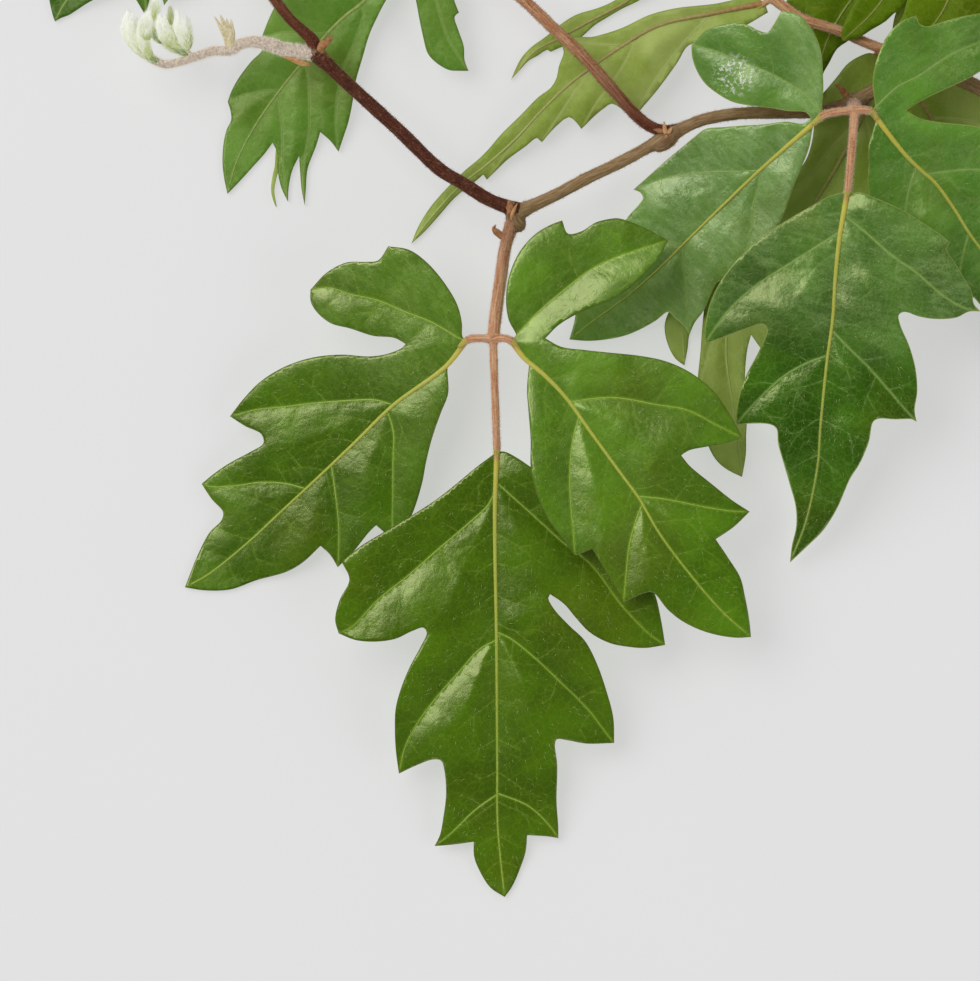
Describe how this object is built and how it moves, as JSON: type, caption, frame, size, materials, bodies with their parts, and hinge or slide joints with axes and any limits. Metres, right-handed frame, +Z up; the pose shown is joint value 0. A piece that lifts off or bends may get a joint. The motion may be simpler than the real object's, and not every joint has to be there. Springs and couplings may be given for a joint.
{
  "type": "grape ivy spray",
  "caption": "Cut spray of a climbing vine lying flat: a zigzag woody stem, compound leaves with lobed leaflets on slender stalks, and a woolly shoot tip.",
  "frame": {"origin": "centre of the bounding box at its bottom, on the surface the spray lies on", "axes": "+Z up away from the surface; +Y from the lowest leaf's tip towards the top leaves; +X towards the stem's cut end"},
  "size_m": [0.1694, 0.205, 0.0202],
  "materials": {
    "leaf_blade": "glossy dark green living leaf with raised yellow-green veins",
    "leaf_shade": "satin olive green living leaf",
    "leaf_stalk": "reddish pink herbaceous stalk with short pale down",
    "woody_stem": "red-brown to olive young bark with fine pale down",
    "woolly_shoot": "pale green shoot under white wool"
  },
  "bodies": {
    "root": {"vine": "woody_stem", "shoot_tip": "woolly_shoot", "petiole_m": "leaf_stalk", "petiole_r": "leaf_stalk", "petiole_u": "leaf_stalk", "petiole_n": "leaf_stalk", "petiole_b": "leaf_stalk", "petiole_d": "leaf_stalk", "petiole_c": "leaf_stalk", "leaf_m_center": "leaf_blade", "leaf_m_left": "leaf_blade", "leaf_m_right": "leaf_blade", "leaf_r_center": "leaf_blade", "leaf_r_left": "leaf_blade", "leaf_r_right": "leaf_blade", "leaf_u_center": "leaf_blade", "leaf_u_left": "leaf_blade", "leaf_u_right": "leaf_blade", "leaf_n_center": "leaf_blade", "leaf_n_left": "leaf_blade", "leaf_n_right": "leaf_blade", "leaf_b_center": "leaf_shade", "leaf_b_left": "leaf_shade", "leaf_b_right": "leaf_shade", "leaf_d_center": "leaf_shade", "leaf_d_left": "leaf_shade", "leaf_d_right": "leaf_shade", "leaf_c_center": "leaf_shade", "leaf_c_left": "leaf_shade", "leaf_c_right": "leaf_shade"}
  },
  "joints": []
}
